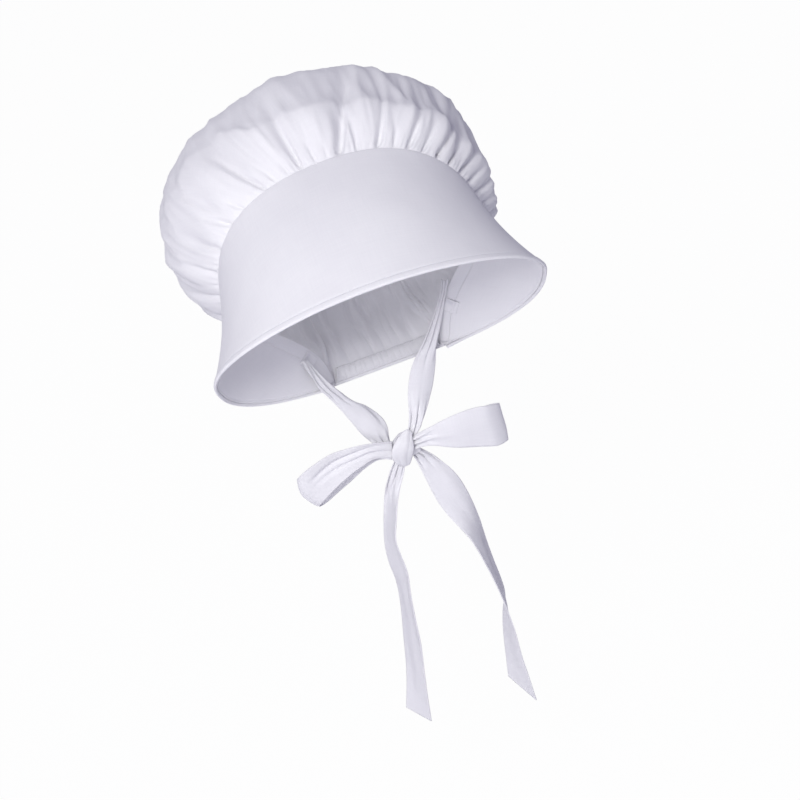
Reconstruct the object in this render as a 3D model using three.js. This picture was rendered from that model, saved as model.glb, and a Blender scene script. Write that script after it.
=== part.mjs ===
import * as THREE from 'three';

// Cotton bonnet: deep stiffened brim, gathered puff crown, elastic nape and chin ties in a bow.
// Millimetres. The front faces -Y, +Z is up, and the origin is the centre of the head opening.

// ---- Head opening: the seam that joins the crown to the brim ----
const SEAM_HALF_WIDTH = 98; // centre to side where the opening is widest
const SEAM_HEIGHT = 192; // nape edge up to the top of the seam
const SEAM_WIDEST_AT = 105; // height of the widest level above the nape edge
const SEAM_LEAN = 27; // how far the top of the seam stands forward of the nape
const NAPE_HALF_WIDTH = 45; // half of the straight elastic edge at the nape
const NAPE_Y = SEAM_LEAN / 2;
const NAPE_Z = -SEAM_HEIGHT / 2;

// ---- Brim ----
const BRIM_HALF_WIDTH = 125; // centre to side at the front edge
const BRIM_LOOP_HEIGHT = 196; // front edge, measured along its own sloping plane
const BRIM_LOOP_TILT = THREE.MathUtils.degToRad(47); // slope of that plane above the horizontal
const BRIM_END_DEPTH = 13.5; // what is left of the brim at the nape corners
const BRIM_BOW_TOP = 3; // outward bow between seam and edge, over the forehead
const BRIM_BOW_SIDE = -4; // and at the sides, where the brim flares instead
const FABRIC = 0.5; // one layer of woven cotton
const STIFFENER = 0.6; // woven interfacing between the two layers
const GAP = 0.3; // clearance between any two separate pieces
const TOPSTITCH_INSET = 5; // row of stitches behind the front edge
const BINDING_WIDTH = 8; // tape that covers the raw seam inside

// ---- Crown ----
const CROWN_HALF_WIDTH = 122;
const CROWN_RISE = 96; // crown axis up to the top of the puff
const CROWN_DROP = 112; // crown axis down to the underside
const CROWN_AXIS_Z = 33; // height of the crown's axis above the origin
const CROWN_WIDEST_Y = 60; // where the puff is fullest, behind the origin
const CROWN_BACK = 80; // from the fullest section to the back of the puff
const CROWN_SPRING = 0.4; // radians; how flat the gathers leave the seam
const CROWN_CLOTH = 0.8; // gathered cotton lies a little thicker than one layer

// ---- Nape casing and elastic ----
const CASING_SHORT = 3; // how far the casing stops before each nape corner
const CASING_HALF_WIDTH = NAPE_HALF_WIDTH - CASING_SHORT;
const ELASTIC_FROM = 4; // elastic's edges, measured up from the nape edge
const ELASTIC_TO = 10;
const ELASTIC_THICKNESS = 1;
const ELASTIC_EASE = 2; // room beside each edge of the elastic, inside the casing
const CASING_FROM = ELASTIC_FROM - ELASTIC_EASE - FABRIC; // casing edges, measured the same way
const CASING_TO = ELASTIC_TO + ELASTIC_EASE + FABRIC;

// ---- Ties and bow ----
const TIE_WIDTH = 27;
const TIE_CLOTH = 0.8; // the ties are double, folded and sewn
const TIE_PINCH = 9; // width where a tie is drawn into the knot
const TIE_Y = 3; // plane in which the ties hang
const TIE_TOP_X = 52; // sewn ends, left and right of the centre
const TIE_TOP_Z = -62;
const STRAP_INSET = 14; // how far inside each nape corner a strap passes
const STRAP_AT_NAPE = NAPE_HALF_WIDTH - STRAP_INSET;
const KNOT_X = -9;
const KNOT_Z = -164;
const KNOT_RADIUS = 9.5;
const ROOT_RADIUS = KNOT_RADIUS + 1; // where ties, loops and tails leave the knot
const LOOP_LENGTH_LEFT = 88;
const LOOP_LENGTH_RIGHT = 82;
const LOOP_FULLNESS = 5.5; // half of the gap inside a loop
const TAIL_DROP_LEFT = 252; // knot down to the cut end
const TAIL_DROP_RIGHT = 266;
const TAIL_SLANT = 26; // the ends are cut at an angle
const THREAD_RADIUS = 0.25;

const cotton = new THREE.MeshStandardMaterial({ color: 0xf1f1f5, roughness: 0.9 });
const stiffener = new THREE.MeshStandardMaterial({ color: 0xe4e4e8, roughness: 0.95 });
const tape = new THREE.MeshStandardMaterial({ color: 0xeaeaf0, roughness: 0.9 });
const elastic = new THREE.MeshStandardMaterial({ color: 0xf4f4f4, roughness: 0.8 });
const thread = new THREE.MeshStandardMaterial({ color: 0xf8f8fa, roughness: 0.7 });

const smooth = (t) => {
  const k = Math.min(1, Math.max(0, t));
  return k * k * (3 - 2 * k);
};
const mix = (a, b, t) => a + (b - a) * t;
const range = (count) => Array.from({ length: count }, (_, i) => i / (count - 1));

// ---------------------------------------------------------------- lengths along a line
// A line is a list of points with their distances from the first one.
function measured(points) {
  const at = [0];
  for (let i = 1; i < points.length; i += 1) {
    at.push(at[i - 1] + points[i].distanceTo(points[i - 1]));
  }
  return { points, at, length: at[at.length - 1] };
}

function along(line, distance) {
  const last = line.points.length - 1;
  let i = line.at.findIndex((d, k) => k > 0 && d >= distance);
  if (i < 0) i = last;
  const t = (distance - line.at[i - 1]) / (line.at[i] - line.at[i - 1]);
  return line.points[i - 1].clone().lerp(line.points[i], t);
}

// ---------------------------------------------------------------- closed solids from rings
// Each ring is a closed list of points; the first and last ring are filled in.
// Every four-sided patch is split along its shorter diagonal, so curved cloth stays fair.
function loft(rings) {
  const size = rings[0].length;
  const points = rings.flat();
  const positions = points.flatMap((p) => [p.x, p.y, p.z]);
  const index = [];
  for (let i = 0; i < rings.length - 1; i += 1) {
    for (let k = 0; k < size; k += 1) {
      const next = (k + 1) % size;
      const [a, b] = [i * size + k, (i + 1) * size + k];
      const [c, d] = [(i + 1) * size + next, i * size + next];
      const straight = points[a].distanceTo(points[c]) <= points[b].distanceTo(points[d]) + 1e-4;
      index.push(...(straight ? [a, b, c, a, c, d] : [a, b, d, b, c, d]));
    }
  }
  const end = (rings.length - 1) * size;
  for (let k = 0; k < size / 2 - 1; k += 1) {
    const back = size - 1 - k;
    index.push(k, k + 1, back - 1, k, back - 1, back);
    index.push(end + k, end + back - 1, end + k + 1, end + k, end + back, end + back - 1);
  }
  const geometry = new THREE.BufferGeometry();
  geometry.setAttribute('position', new THREE.Float32BufferAttribute(positions, 3));
  geometry.setIndex(volume(points, index) < 0 ? flipped(index) : index);
  geometry.computeVertexNormals();
  return geometry;
}

function volume(points, index) {
  let total = 0;
  for (let i = 0; i < index.length; i += 3) {
    const [a, b, c] = [points[index[i]], points[index[i + 1]], points[index[i + 2]]];
    total += a.dot(b.clone().cross(c));
  }
  return total / 6;
}

function flipped(index) {
  const out = [];
  for (let i = 0; i < index.length; i += 3) {
    out.push(index[i], index[i + 2], index[i + 1]);
  }
  return out;
}

const group = new THREE.Group();
group.name = 'bonnet';

function add(name, geometry, material) {
  const mesh = new THREE.Mesh(geometry, material);
  mesh.name = name;
  group.add(mesh);
}

// ---------------------------------------------------------------- pattern curves
// Half loops run from the top centre to the nape corner; u is -1 left corner to +1 right corner.
function superellipse(a, b, power, angle) {
  const x = a * Math.sin(angle) ** (2 / power);
  const y = b * Math.cos(angle) ** (2 / power);
  return [x, y];
}

function seamHalf() {
  const points = [];
  const place = (x, h) => {
    const y = NAPE_Y - SEAM_LEAN * smooth(h / SEAM_HEIGHT);
    points.push(new THREE.Vector3(x, y, NAPE_Z + h));
  };
  for (const t of range(40)) {
    const rise = SEAM_HEIGHT - SEAM_WIDEST_AT;
    const [x, h] = superellipse(SEAM_HALF_WIDTH, rise, 2.3, (t * Math.PI) / 2);
    place(x, SEAM_WIDEST_AT + h);
  }
  for (const t of range(40).slice(1)) {
    const narrowing = smooth(1 - t) ** 1.5;
    place(mix(NAPE_HALF_WIDTH, SEAM_HALF_WIDTH, narrowing), SEAM_WIDEST_AT * (1 - t));
  }
  return measured(points);
}

function edgeHalf() {
  const points = [];
  const half = BRIM_LOOP_HEIGHT / 2;
  const slope = Math.cos(BRIM_LOOP_TILT);
  const climb = Math.sin(BRIM_LOOP_TILT);
  const startY = NAPE_Y - BRIM_END_DEPTH * 0.9;
  const startZ = NAPE_Z + BRIM_END_DEPTH * 0.3;
  const place = (x, h) => {
    points.push(new THREE.Vector3(x, startY - h * slope, startZ + h * climb));
  };
  for (const t of range(40)) {
    const [x, h] = superellipse(BRIM_HALF_WIDTH, half, 2, (t * Math.PI) / 2);
    place(x, half + h);
  }
  const lastAngle = Math.acos((NAPE_HALF_WIDTH / BRIM_HALF_WIDTH) ** 1.3);
  for (const t of range(40).slice(1)) {
    const [h, x] = superellipse(half, BRIM_HALF_WIDTH, 2.6, t * lastAngle);
    place(x, half - h);
  }
  return measured(points);
}

const SEAM = seamHalf();
const EDGE = edgeHalf();

function onLoop(line, u) {
  const point = along(line, Math.min(1, Math.abs(u)) * line.length);
  return u < 0 ? point.multiply(new THREE.Vector3(-1, 1, 1)) : point;
}

// Brim: straight from seam to front edge with a slight outward bow.
function brimLine(u) {
  const from = onLoop(SEAM, u);
  const to = onLoop(EDGE, u);
  const bulge = new THREE.Vector3(from.x, 0, from.z + SEAM_HEIGHT / 4).normalize();
  const bow = mix(BRIM_BOW_TOP, BRIM_BOW_SIDE, smooth(Math.abs(u) / 0.5));
  const fullness = (bow * from.distanceTo(to)) / 100;
  const points = range(13).map((t) => {
    const point = from.clone().lerp(to, t);
    return point.addScaledVector(bulge, fullness * Math.sin(Math.PI * t));
  });
  return measured(points);
}

// Crown: u from -1 to 1 follows the seam, 1 to 3 runs back along the straight nape edge.
function crownRim(u) {
  if (u <= 1) return onLoop(SEAM, u);
  return new THREE.Vector3(NAPE_HALF_WIDTH * (2 - u), NAPE_Y, NAPE_Z);
}

function crownLine(u) {
  const rim = crownRim(u);
  const out = new THREE.Vector3(rim.x, 0, rim.z - CROWN_AXIS_Z);
  const start = out.length();
  out.normalize();
  const reach = out.z > 0 ? CROWN_RISE : CROWN_DROP;
  const full = 1 / Math.hypot(out.x / CROWN_HALF_WIDTH, out.z / reach);
  const points = [];
  const place = (radius, y) => {
    points.push(new THREE.Vector3(out.x * radius, y, CROWN_AXIS_Z + out.z * radius));
  };
  for (const t of range(16)) {
    const angle = mix(CROWN_SPRING, Math.PI / 2, t);
    const swell = (Math.sin(angle) - Math.sin(CROWN_SPRING)) / (1 - Math.sin(CROWN_SPRING));
    const forward = Math.cos(angle) / Math.cos(CROWN_SPRING);
    place(mix(start, full, swell), mix(CROWN_WIDEST_Y, rim.y, forward));
  }
  for (const t of range(20).slice(1)) {
    const angle = t * Math.PI * 0.48;
    place(full * Math.cos(angle), CROWN_WIDEST_Y + CROWN_BACK * Math.sin(angle));
  }
  return measured(points);
}

const BRIM = { line: brimLine, side: -1 };
const CROWN = { line: crownLine, side: 1 };

// A point w millimetres along the cloth's line at u and n millimetres off its face, outwards.
function offCloth({ line, side }, u, w, n) {
  const here = line(u);
  const share = w / here.length;
  const point = along(here, w);
  const before = line(u - 0.004);
  const after = line(u + 0.004);
  const across = along(after, share * after.length).sub(along(before, share * before.length));
  const down = along(here, w + 0.5).sub(along(here, w - 0.5));
  const normal = across.cross(down).normalize();
  return point.addScaledVector(normal, side * n);
}

function strip(cloth, stations, section) {
  return loft(stations.map((u) =>
    section(cloth.line(u).length).map(([w, n]) => offCloth(cloth, u, w, n))));
}

const spread = (from, to, count) => range(count).map((t) => mix(from, to, t));

// Flat layer of a strip: up one face and back down the other.
function layer(from, to, low, high, steps) {
  const outward = spread(from, to, steps).map((w) => [w, high]);
  return [...outward, ...facing(outward, low)];
}

const facing = (points, n) => points.map(([w]) => [w, n]).reverse();

function threadSection(w, n) {
  const r = THREAD_RADIUS;
  return [[w - r, n], [w, n + r], [w + r, n], [w, n - r]];
}

// ---------------------------------------------------------------- brim
const HALF_CORE = STIFFENER / 2;
const SKIN_IN = HALF_CORE + GAP;
const SKIN_OUT = SKIN_IN + FABRIC;
const brimStations = spread(-1, 1, 49);
const insideStations = brimStations.slice(1, -1);

// All three layers share their lines across the brim, so they stay parallel.
function brimLayer(length, from, to, low, high) {
  const lines = spread(0, length, 7).slice(1, -1);
  const outward = [from, ...lines, to].map((w) => [w, high]);
  return [...outward, ...facing(outward, low)];
}

// The outer cloth turns over the front edge and closes the sandwich.
function brimOuterSection(length) {
  const flat = brimLayer(length, 1, length - FABRIC, SKIN_IN, SKIN_OUT);
  const outside = flat.slice(0, flat.length / 2 - 1);
  const inside = flat.slice(flat.length / 2);
  return [
    ...outside,
    [length, SKIN_OUT],
    [length, -SKIN_OUT],
    [length - FABRIC, -SKIN_OUT],
    ...inside,
  ];
}

const lipBack = FABRIC + GAP;
add('brim_outer', strip(BRIM, brimStations, brimOuterSection), cotton);
add(
  'brim_interfacing',
  strip(BRIM, insideStations, (l) => brimLayer(l, 1.5, l - lipBack, -HALF_CORE, HALF_CORE)),
  stiffener,
);
add(
  'brim_lining',
  strip(BRIM, brimStations, (l) => brimLayer(l, 1, l - lipBack, -SKIN_OUT, -SKIN_IN)),
  cotton,
);

const stitchHeight = SKIN_OUT + 1.5 * GAP + THREAD_RADIUS;
const stitchStations = insideStations;
add(
  'brim_topstitch',
  strip(BRIM, stitchStations, (l) => threadSection(l - TOPSTITCH_INSET, stitchHeight)),
  thread,
);
add(
  'brim_bobbin_stitch',
  strip(BRIM, stitchStations, (l) => threadSection(l - TOPSTITCH_INSET, -stitchHeight)),
  thread,
);

// ---------------------------------------------------------------- seam binding
const BINDING_OUT = -SKIN_OUT - GAP;
const BINDING_IN = BINDING_OUT - FABRIC;
const bindingStations = brimStations.slice(2, -2);
add(
  'seam_binding',
  strip(BRIM, bindingStations, () => layer(1, 1 + BINDING_WIDTH, BINDING_IN, BINDING_OUT, 3)),
  tape,
);
const bindingStitch = BINDING_IN - GAP - THREAD_RADIUS;
add(
  'seam_binding_stitch',
  strip(BRIM, brimStations.slice(7, -7), () => threadSection(BINDING_WIDTH - 0.5, bindingStitch)),
  thread,
);

// ---------------------------------------------------------------- crown
const aroundSeam = spread(-1, 1, 49);
const napeShare = CASING_HALF_WIDTH / NAPE_HALF_WIDTH;
const aroundNape = spread(2 - napeShare, 2 + napeShare, 9);
const crownStations = [...aroundSeam, ...aroundNape];

function crownRing(share, n) {
  return crownStations.map((u) => {
    const length = crownLine(u).length;
    return offCloth(CROWN, u, mix(0.8, length, share), n);
  });
}

const crownSteps = [0, 0.02, 0.08, 0.17, 0.27, 0.38, 0.5, 0.61, 0.71, 0.8, 0.88, 0.95, 1];
const crownOutside = crownSteps.map((t) => crownRing(t, 0));
const crownInside = crownSteps.map((t) => crownRing(t, -CROWN_CLOTH));
add('crown', loft([...crownOutside.reverse(), ...crownInside]), cotton);

const gatherDepth = -CROWN_CLOTH - GAP - THREAD_RADIUS;
add(
  'crown_gathering_thread',
  strip(CROWN, aroundSeam.slice(2, -2), () => threadSection(2.4, gatherDepth)),
  thread,
);

// ---------------------------------------------------------------- nape
const elasticOut = -CROWN_CLOTH - GAP;
const elasticIn = elasticOut - ELASTIC_THICKNESS;
const casingOut = elasticIn - 2 * GAP;
const casingIn = casingOut - FABRIC;

// Folded tape, sewn to the crown along both edges, with the elastic running inside.
function casingSection() {
  return [
    [CASING_FROM, elasticOut],
    [CASING_FROM, casingIn],
    [CASING_TO, casingIn],
    [CASING_TO, elasticOut],
    [CASING_TO - FABRIC, elasticOut],
    [CASING_TO - FABRIC, casingOut],
    [CASING_FROM + FABRIC, casingOut],
    [CASING_FROM + FABRIC, elasticOut],
  ];
}

// Stations along the nape, drawn in at both ends by a little of the half width.
const napeInset = (inset) => {
  const between = aroundNape.slice(1, -1);
  return [2 - napeShare + inset, ...between, 2 + napeShare - inset];
};

add('nape_casing', strip(CROWN, aroundNape, casingSection), tape);
add(
  'nape_elastic',
  strip(CROWN, napeInset(0.06), () =>
    layer(ELASTIC_FROM, ELASTIC_TO, elasticIn, elasticOut, 2)),
  elastic,
);
const casingStitch = casingIn - GAP - THREAD_RADIUS;
for (const [name, w] of [['lower', CASING_FROM + 1.2], ['upper', CASING_TO - 1.2]]) {
  add(
    `nape_casing_stitch_${name}`,
    strip(CROWN, napeInset(0.03), () => threadSection(w, casingStitch)),
    thread,
  );
}
for (const [side, sign] of [['left', 1], ['right', -1]]) {
  const from = 2 + sign * (napeShare - 0.045);
  const to = 2 + sign * (napeShare - 0.02);
  add(
    `elastic_tack_${side}`,
    strip(CROWN, spread(from, to, 2), () =>
      layer(ELASTIC_FROM, ELASTIC_TO, elasticIn, elasticOut, 2)),
    thread,
  );
}

// ---------------------------------------------------------------- ties
// A ribbon follows a curve; half is its half width, turn twists it about the curve.
function ribbon(curve, steps, half, thick, turn, slant = 0) {
  const length = curve.getLength();
  const rings = range(steps).map((t) => {
    const ring = [];
    for (const [side, face] of [[-1, 1], [0, 1], [1, 1], [1, -1], [0, -1], [-1, -1]]) {
      const cut = t * (1 + (side * slant) / (2 * length));
      const here = Math.min(1.2, cut);
      const tangent = curve.getTangentAt(Math.min(1, t));
      const point = curve.getPointAt(Math.min(1, here));
      if (here > 1) point.addScaledVector(tangent, (here - 1) * length);
      const flat = new THREE.Vector3(0, 1, 0).cross(tangent).normalize();
      const across = flat.applyAxisAngle(tangent, turn(t));
      const normal = tangent.clone().cross(across).normalize();
      point.addScaledVector(across, side * half(t));
      point.addScaledVector(normal, (face * thick(t)) / 2);
      ring.push(point);
    }
    return ring;
  });
  return loft(rings);
}

const curveThrough = (points) =>
  new THREE.CatmullRomCurve3(points.map(([x, z]) => new THREE.Vector3(x, TIE_Y, z)));
const aroundKnot = (degreesFromUp, radius) => {
  const a = THREE.MathUtils.degToRad(degreesFromUp);
  return [KNOT_X + radius * Math.sin(a), KNOT_Z + radius * Math.cos(a)];
};
const flatTie = () => 0;
const PINCH_THICKNESS = 2.6;

for (const [side, sign] of [['left', -1], ['right', 1]]) {
  // Sewn end: a pleated stub flat against the binding, with its bar tack.
  const seat = (height) => {
    const u = sign * height;
    const inner = BINDING_IN - GAP;
    return layer(1.2, 1.2 + TIE_PINCH * 0.85, inner - 1.2, inner, 3).map(([w, n]) =>
      offCloth(BRIM, u, w, n));
  };
  add(`tie_anchor_${side}`, loft(spread(0.8, 0.86, 4).map(seat)), cotton);
  const tack = (height) => {
    const inner = BINDING_IN - GAP - 1.2 - GAP;
    return layer(2, TIE_PINCH * 0.85, inner - 0.5, inner, 2).map(([w, n]) =>
      offCloth(BRIM, sign * height, w, n));
  };
  add(`tie_tack_${side}`, loft(spread(0.822, 0.83, 2).map(tack)), thread);

  // Strap from the sewn end down to the knot.
  const [rootX, rootZ] = aroundKnot(sign * 36, ROOT_RADIUS);
  const drop = TIE_TOP_Z - rootZ;
  const span = sign * TIE_TOP_X - rootX;
  const strap = curveThrough([
    [sign * TIE_TOP_X, TIE_TOP_Z],
    [sign * STRAP_AT_NAPE, NAPE_Z],
    [rootX + span * 0.2, rootZ + drop * 0.3],
    [rootX, rootZ],
  ]);
  const strapHalf = (t) => {
    const full = smooth(t / 0.6) * smooth((1 - t) / 0.4);
    return mix(TIE_PINCH, TIE_WIDTH * 0.72, full) / 2;
  };
  const strapThick = (t) => mix(PINCH_THICKNESS, TIE_CLOTH, smooth((1 - t) / 0.2));
  add(`tie_strap_${side}`, ribbon(strap, 15, strapHalf, strapThick, flatTie), cotton);
}

// ---------------------------------------------------------------- knot
const knotRings = spread(0.06, 0.94, 9).map((v) => {
  const radius = KNOT_RADIUS * Math.sin(Math.PI * v);
  const y = TIE_Y - KNOT_RADIUS * Math.cos(Math.PI * v);
  return range(17).slice(1).map((t) => {
    const a = t * 2 * Math.PI;
    return new THREE.Vector3(KNOT_X + radius * Math.sin(a), y, KNOT_Z + radius * Math.cos(a));
  });
});
add('bow_knot', loft(knotRings), cotton);

// ---------------------------------------------------------------- bow loops
// Each loop leaves the knot, turns round at its far end and comes back behind itself.
function bowLoop(length, sign, lift) {
  const rings = range(27).map((s) => {
    const out = Math.sin(Math.PI * s);
    const swell = Math.sqrt(out);
    const back = mix(3.5, 8.5, swell);
    const reach = mix(ROOT_RADIUS, length, out ** 0.8);
    const y = TIE_Y - back - LOOP_FULLNESS * Math.sin(2 * Math.PI * s) - 0.9 * Math.cos(Math.PI * s);
    return { reach, y };
  });
  const angle = THREE.MathUtils.degToRad(lift);
  const outward = new THREE.Vector3(sign * Math.cos(angle), 0, Math.sin(angle));
  const upward = new THREE.Vector3(-sign * Math.sin(angle), 0, Math.cos(angle));
  const centre = new THREE.Vector3(KNOT_X, 0, KNOT_Z);
  return loft(rings.map(({ reach, y }, i) => {
    const before = rings[Math.max(0, i - 1)];
    const after = rings[Math.min(rings.length - 1, i + 1)];
    const run = outward.clone().multiplyScalar(after.reach - before.reach);
    run.y = after.y - before.y;
    const normal = run.normalize().cross(upward).normalize();
    const full = smooth((reach - ROOT_RADIUS) / (0.6 * length));
    const half = mix(TIE_PINCH, TIE_WIDTH, full) / 2;
    const thick = mix(1.1, TIE_CLOTH, full);
    const middle = centre.clone().addScaledVector(outward, reach);
    middle.y = y;
    return [[-1, 1], [0, 1], [1, 1], [1, -1], [0, -1], [-1, -1]].map(([side, face]) =>
      middle.clone().addScaledVector(upward, side * half).addScaledVector(normal, (face * thick) / 2));
  }));
}

add('bow_loop_left', bowLoop(LOOP_LENGTH_LEFT, -1, 3), cotton);
add('bow_loop_right', bowLoop(LOOP_LENGTH_RIGHT, 1, -5), cotton);

// ---------------------------------------------------------------- tails
const [leftRootX, leftRootZ] = aroundKnot(-146, ROOT_RADIUS);
const [rightRootX, rightRootZ] = aroundKnot(146, ROOT_RADIUS);
const leftTail = curveThrough([
  [leftRootX, leftRootZ],
  [KNOT_X - 20, KNOT_Z - TAIL_DROP_LEFT * 0.095],
  [KNOT_X - 27, KNOT_Z - TAIL_DROP_LEFT * 0.18],
  [KNOT_X - 38, KNOT_Z - TAIL_DROP_LEFT * 0.32],
  [KNOT_X - 42, KNOT_Z - TAIL_DROP_LEFT * 0.5],
  [KNOT_X - 50, KNOT_Z - TAIL_DROP_LEFT * 0.7],
  [KNOT_X - 64, KNOT_Z - TAIL_DROP_LEFT],
]);
const rightTail = curveThrough([
  [rightRootX, rightRootZ],
  [KNOT_X + 19, KNOT_Z - TAIL_DROP_RIGHT * 0.2],
  [KNOT_X + 29, KNOT_Z - TAIL_DROP_RIGHT * 0.37],
  [KNOT_X + 33, KNOT_Z - TAIL_DROP_RIGHT * 0.53],
  [KNOT_X + 33, KNOT_Z - TAIL_DROP_RIGHT * 0.67],
  [KNOT_X + 30, KNOT_Z - TAIL_DROP_RIGHT * 0.8],
  [KNOT_X + 26, KNOT_Z - TAIL_DROP_RIGHT],
]);
const tailHalf = (t) => mix(TIE_PINCH, TIE_WIDTH, smooth(t / 0.17)) / 2;
const tailThick = (t) => mix(PINCH_THICKNESS, TIE_CLOTH, smooth(t / 0.08));
const leftTurn = (t) => 1.3 * smooth((t - 0.08) / 0.14) - 0.45 * smooth((t - 0.3) / 0.5);
const rightTurn = (t) => -1.35 * smooth((t - 0.3) / 0.16) - 1.1 * smooth((t - 0.66) / 0.16);
add('tie_tail_left', ribbon(leftTail, 27, tailHalf, tailThick, leftTurn, -TAIL_SLANT), cotton);
add('tie_tail_right', ribbon(rightTail, 27, tailHalf, tailThick, rightTurn, TAIL_SLANT), cotton);

export default group;
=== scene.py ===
# %% [markdown]
# # A gathered cotton bonnet
#
# The real thing is a white cotton bonnet. A deep, stiffened brim frames the face, a puffed
# crown is gathered onto it, a short elastic draws in the nape, and two ties meet in a bow
# under the chin. It is all cut from flat cloth, so each piece here starts as a flat grid and
# every vertex is then carried to where the sewn cloth lies. Sizes in the code are
# millimetres, as a pattern cutter writes them, and the mesh is in metres.

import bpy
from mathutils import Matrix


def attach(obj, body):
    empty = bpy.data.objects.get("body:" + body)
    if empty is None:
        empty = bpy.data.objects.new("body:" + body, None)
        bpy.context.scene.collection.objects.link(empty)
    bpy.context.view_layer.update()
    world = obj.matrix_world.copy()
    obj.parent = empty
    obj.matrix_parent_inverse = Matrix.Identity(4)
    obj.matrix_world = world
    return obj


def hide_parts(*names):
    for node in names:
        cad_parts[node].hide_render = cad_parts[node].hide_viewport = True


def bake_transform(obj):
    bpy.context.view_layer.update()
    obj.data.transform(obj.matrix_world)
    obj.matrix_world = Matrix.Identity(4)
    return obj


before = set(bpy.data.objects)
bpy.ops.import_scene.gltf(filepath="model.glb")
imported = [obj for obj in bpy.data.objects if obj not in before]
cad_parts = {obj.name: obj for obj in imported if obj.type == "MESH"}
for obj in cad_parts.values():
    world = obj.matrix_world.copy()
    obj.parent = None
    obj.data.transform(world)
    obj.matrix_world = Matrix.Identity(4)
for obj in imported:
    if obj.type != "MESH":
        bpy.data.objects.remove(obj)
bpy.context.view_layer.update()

# %% Modules
import bisect
import math
import random

import bmesh
import bpy
from mathutils import Matrix, Vector, noise

MM = 0.001
scene = bpy.context.scene


def smooth(t):
    k = min(1.0, max(0.0, t))
    return k * k * (3 - 2 * k)


def mix(a, b, t):
    return a + (b - a) * t


def steps(start, end, count):
    return [mix(start, end, i / (count - 1)) for i in range(count)]


# %% [markdown]
# ## The camera
#
# A bonnet is usually shown from above its brim and turned a little, so that the gathers, the
# brim and the inside all show. The camera is set by the direction it looks from, and by a
# roll, because the bonnet hangs at a slant in the frame. Writing the three axes of the camera
# as the columns of its matrix keeps the roll exact.

# %% Camera
def aim(azimuth, elevation, roll, target, distance):
    """World matrix of a camera that looks at target from the given side."""
    a, e, r = (math.radians(x) for x in (azimuth, elevation, roll))
    back = Vector((math.sin(a) * math.cos(e), -math.cos(a) * math.cos(e), math.sin(e)))
    right = Vector((math.cos(a), math.sin(a), 0))
    up = back.cross(right)
    rolled_right = right * math.cos(r) + up * math.sin(r)
    rolled_up = up * math.cos(r) - right * math.sin(r)
    matrix = Matrix((rolled_right, rolled_up, back)).transposed().to_4x4()
    matrix.translation = Vector(target) + back * distance
    return matrix


FOCAL_LENGTH = 104.18
VIEW = dict(azimuth=-1.8995, elevation=31.864, roll=-19.2247,
            target=(-0.0016, 0, -0.1201), distance=1.7567)
lens = bpy.data.cameras.new("bonnet_camera")
lens.lens = FOCAL_LENGTH
camera = bpy.data.objects.new("bonnet_camera", lens)
scene.collection.objects.link(camera)
camera.matrix_world = aim(**VIEW)
scene.camera = camera
print("camera at", [round(x, 3) for x in camera.location])

# %% [markdown]
# ## Soft studio light
#
# White cotton shows its folds where the light comes mostly from one place. A large lamp
# stands in front and a little to the left, so the cloth that faces forward is the brightest
# and the top and right of the puff fall into soft shade. A weak lamp low on the left reaches
# into the opening, and another from behind keeps the back from going flat. Thin white cotton
# lets light through, which closed solids don't, so a tiny lamp that the camera can't see
# stands inside the crown for it. The world gives the rest, faintly blue, as shade in a white
# room is. It looks white to the camera, but lights the cloth with less than that, so that the
# whites keep their shading.

# %% Node helpers
def wire(tree, value, socket):
    """Set a socket to a plain value, or link another node's output to it."""
    if isinstance(value, (int, float, tuple)):
        socket.default_value = value
    else:
        tree.links.new(value, socket)


def maths(tree, operation, a, b=0.0):
    node = tree.nodes.new("ShaderNodeMath")
    node.operation = operation
    wire(tree, a, node.inputs[0])
    wire(tree, b, node.inputs[1])
    return node.outputs[0]


def noise_at(tree, vector, scale, detail=2.0, stretch=(1, 1, 1)):
    mapping = tree.nodes.new("ShaderNodeMapping")
    mapping.inputs["Scale"].default_value = stretch
    tree.links.new(vector, mapping.inputs["Vector"])
    node = tree.nodes.new("ShaderNodeTexNoise")
    node.inputs["Scale"].default_value = scale
    node.inputs["Detail"].default_value = detail
    tree.links.new(mapping.outputs[0], node.inputs["Vector"])
    return node.outputs["Fac"]


def bump(tree, height, strength, distance, below=None):
    node = tree.nodes.new("ShaderNodeBump")
    node.inputs["Strength"].default_value = strength
    node.inputs["Distance"].default_value = distance
    tree.links.new(height, node.inputs["Height"])
    if below is not None:
        tree.links.new(below, node.inputs["Normal"])
    return node.outputs["Normal"]


# %% World
world = bpy.data.worlds.new("studio")
scene.world = world
world.use_nodes = True
sky = world.node_tree
sky.nodes.clear()


def background(colour, strength):
    node = sky.nodes.new("ShaderNodeBackground")
    node.inputs["Color"].default_value = (*colour, 1)
    node.inputs["Strength"].default_value = strength
    return node.outputs[0]


rays = sky.nodes.new("ShaderNodeLightPath").outputs
seen = maths(sky, "MAXIMUM", rays["Is Camera Ray"], rays["Is Glossy Ray"])
choose = sky.nodes.new("ShaderNodeMixShader")
wire(sky, maths(sky, "MAXIMUM", seen, rays["Is Transmission Ray"]), choose.inputs["Fac"])
wire(sky, background((0.69, 0.67, 0.88), 0.42), choose.inputs[1])
wire(sky, background((1, 1, 1), 1.0), choose.inputs[2])
out = sky.nodes.new("ShaderNodeOutputWorld")
sky.links.new(choose.outputs[0], out.inputs["Surface"])
scene.view_settings.view_transform = "Standard"


# %% Lamps
def lamp(name, place, towards, watts, size, colour):
    light = bpy.data.lights.new(name, "AREA")
    light.energy = watts
    light.size = size
    light.color = colour
    holder = bpy.data.objects.new(name, light)
    holder.location = place
    turn = (Vector(towards) - Vector(place)).to_track_quat("-Z", "Y")
    holder.rotation_euler = turn.to_euler()
    scene.collection.objects.link(holder)


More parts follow.
